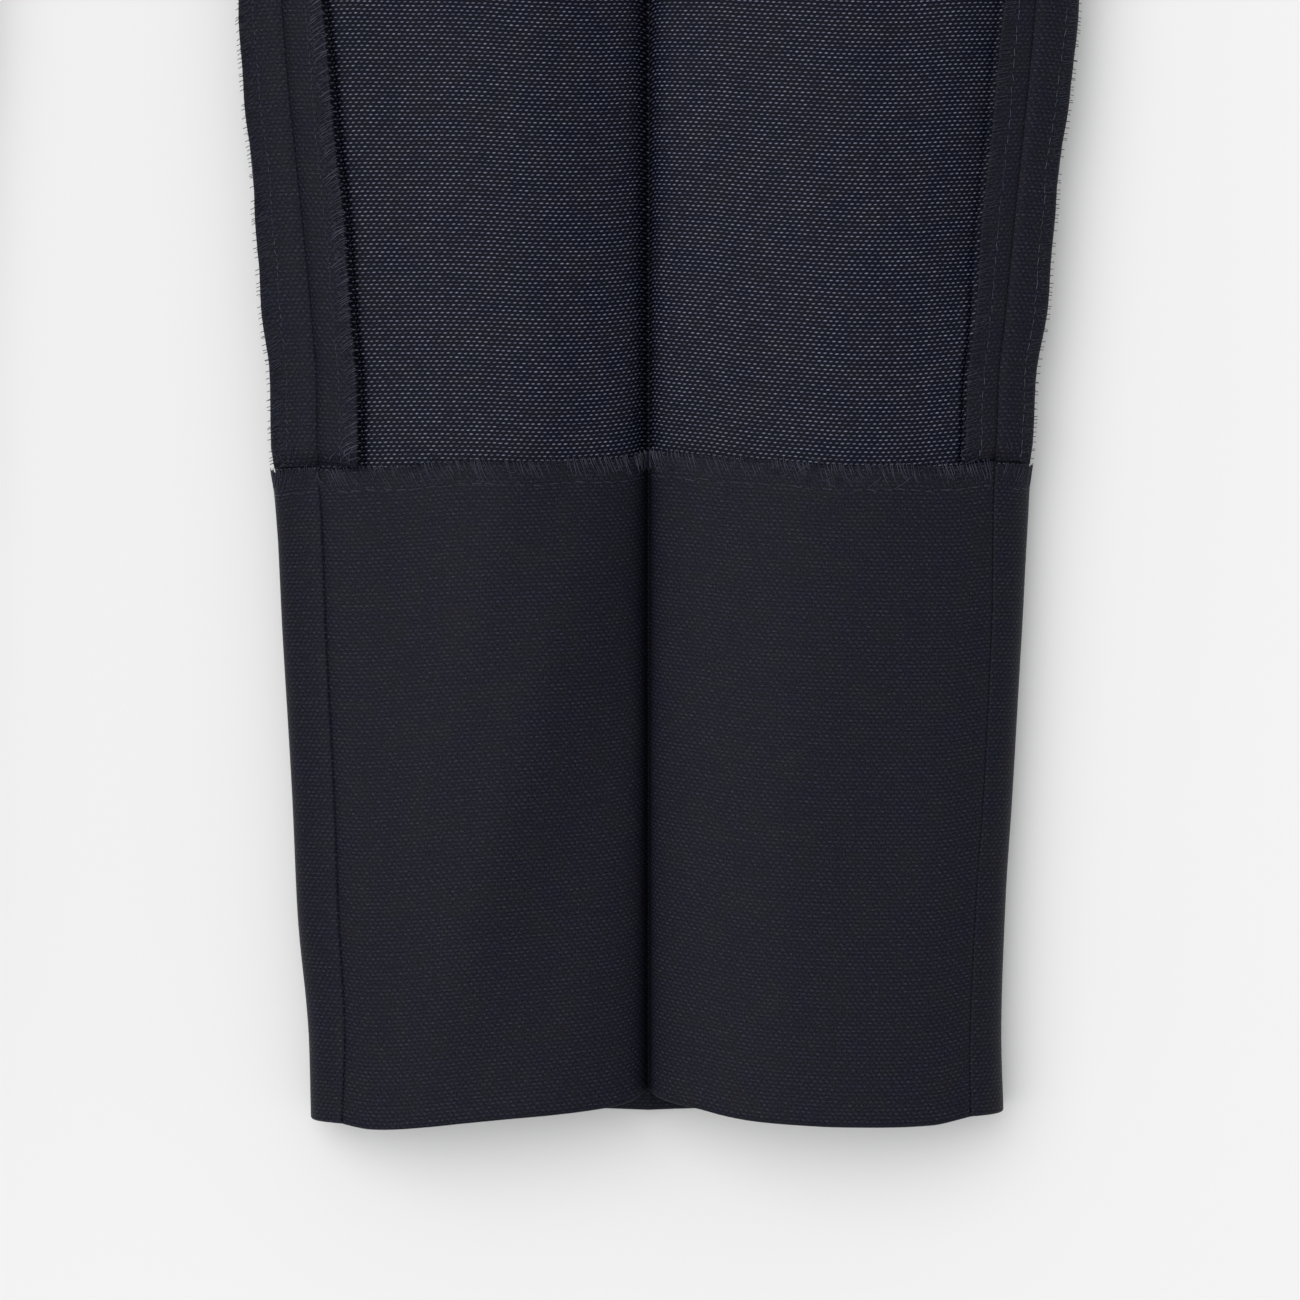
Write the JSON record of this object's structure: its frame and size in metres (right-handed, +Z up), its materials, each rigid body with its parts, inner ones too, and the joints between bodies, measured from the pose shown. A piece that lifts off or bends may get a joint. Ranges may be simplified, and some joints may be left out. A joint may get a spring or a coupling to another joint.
{
  "type": "suit trousers",
  "caption": "Dark suit trousers turned inside out and laid flat, with pressed-open seams and deep turned-up hem allowances.",
  "frame": {"origin": "bottom centre of the bounding box, on the surface the trousers lie on", "axes": "+X to the viewer's right when looking down on the front, +Y from the hems towards the waist, +Z up from the surface, out of the front"},
  "size_m": [0.5562, 0.9998, 0.028],
  "materials": {
    "cloth": "matt dark navy worsted suiting with fine light dashes on its wrong side",
    "pocketing": "matt plain dark cotton pocketing",
    "zip_tape": "matt dark woven tape with a fine chain",
    "zip_metal": "satin dull nickel",
    "button": "satin dark resin"
  },
  "bodies": {
    "root": {"back_left": "cloth", "back_right": "cloth", "fly_shield": "cloth", "front_left": "cloth", "front_right": "cloth", "inseam_back_allowance_left": "cloth", "inseam_back_allowance_right": "cloth", "inseam_front_allowance_left": "cloth", "inseam_front_allowance_right": "cloth", "outseam_back_allowance_left": "cloth", "outseam_back_allowance_right": "cloth", "outseam_front_allowance_left": "cloth", "outseam_front_allowance_right": "cloth", "pocket_bag_left": "pocketing", "pocket_bag_right": "pocketing", "rise_front_allowance_left": "cloth", "rise_front_allowance_right": "cloth", "waist_button": "button", "waistband_left": "cloth", "waistband_right": "cloth", "zip_slider": "zip_metal", "zip_tape": "zip_tape"}
  },
  "joints": []
}
